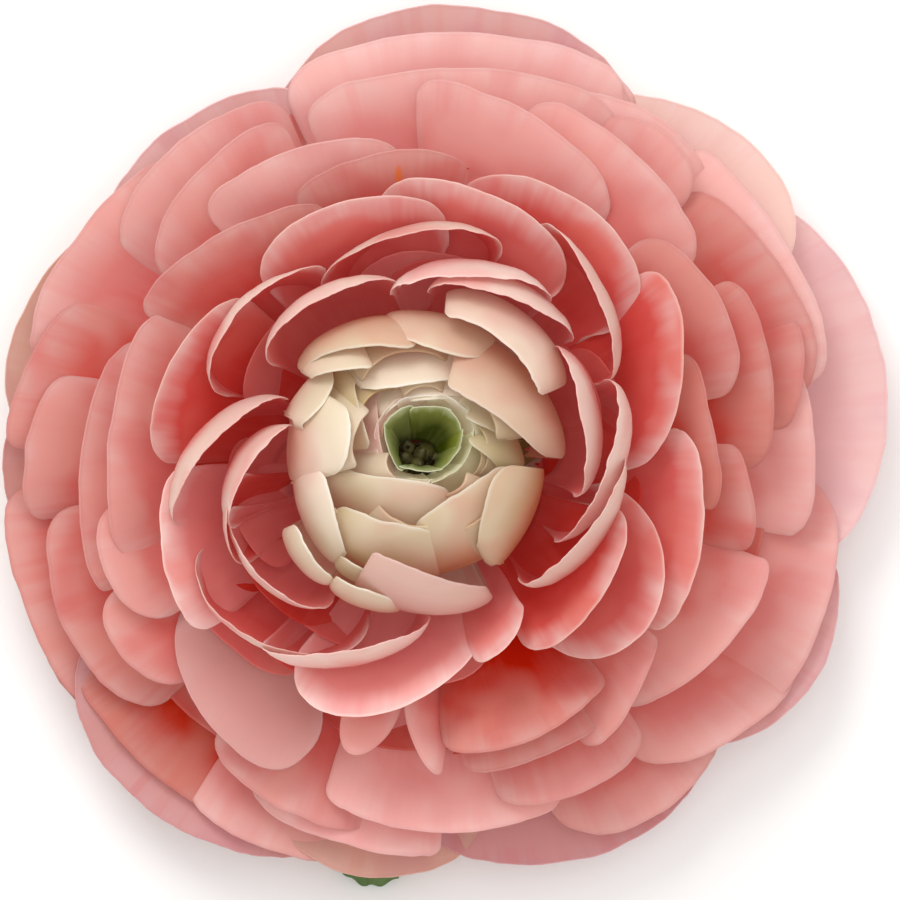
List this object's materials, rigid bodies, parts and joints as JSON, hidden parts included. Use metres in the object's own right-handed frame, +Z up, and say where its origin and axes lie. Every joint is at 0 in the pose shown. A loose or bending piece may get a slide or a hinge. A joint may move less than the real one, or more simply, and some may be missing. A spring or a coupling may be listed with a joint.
{
  "type": "ranunculus flower",
  "caption": "Full double ranunculus bloom cut close under its head, lying face up, with a closed cream centre and coral to pale pink petals in overlapping layers.",
  "frame": {"origin": "under the middle of the bloom's bounding box, on the surface that it lies on", "axes": "+Z up out of the open face of the bloom; +Y towards the top of the picture, +X to its right"},
  "size_m": [0.0886, 0.0888, 0.0392],
  "materials": {
    "green_stem": "matte",
    "olive_heart": "matte",
    "cream_petal": "satin",
    "coral_petal": "satin",
    "salmon_petal": "satin",
    "pale_petal": "satin"
  },
  "bodies": {
    "root": {"leafy_stem": "green_stem", "heart": "olive_heart", "bud_petals": "cream_petal", "inner_petals": "coral_petal", "outer_petals": "salmon_petal", "guard_petals": "pale_petal"}
  },
  "joints": []
}
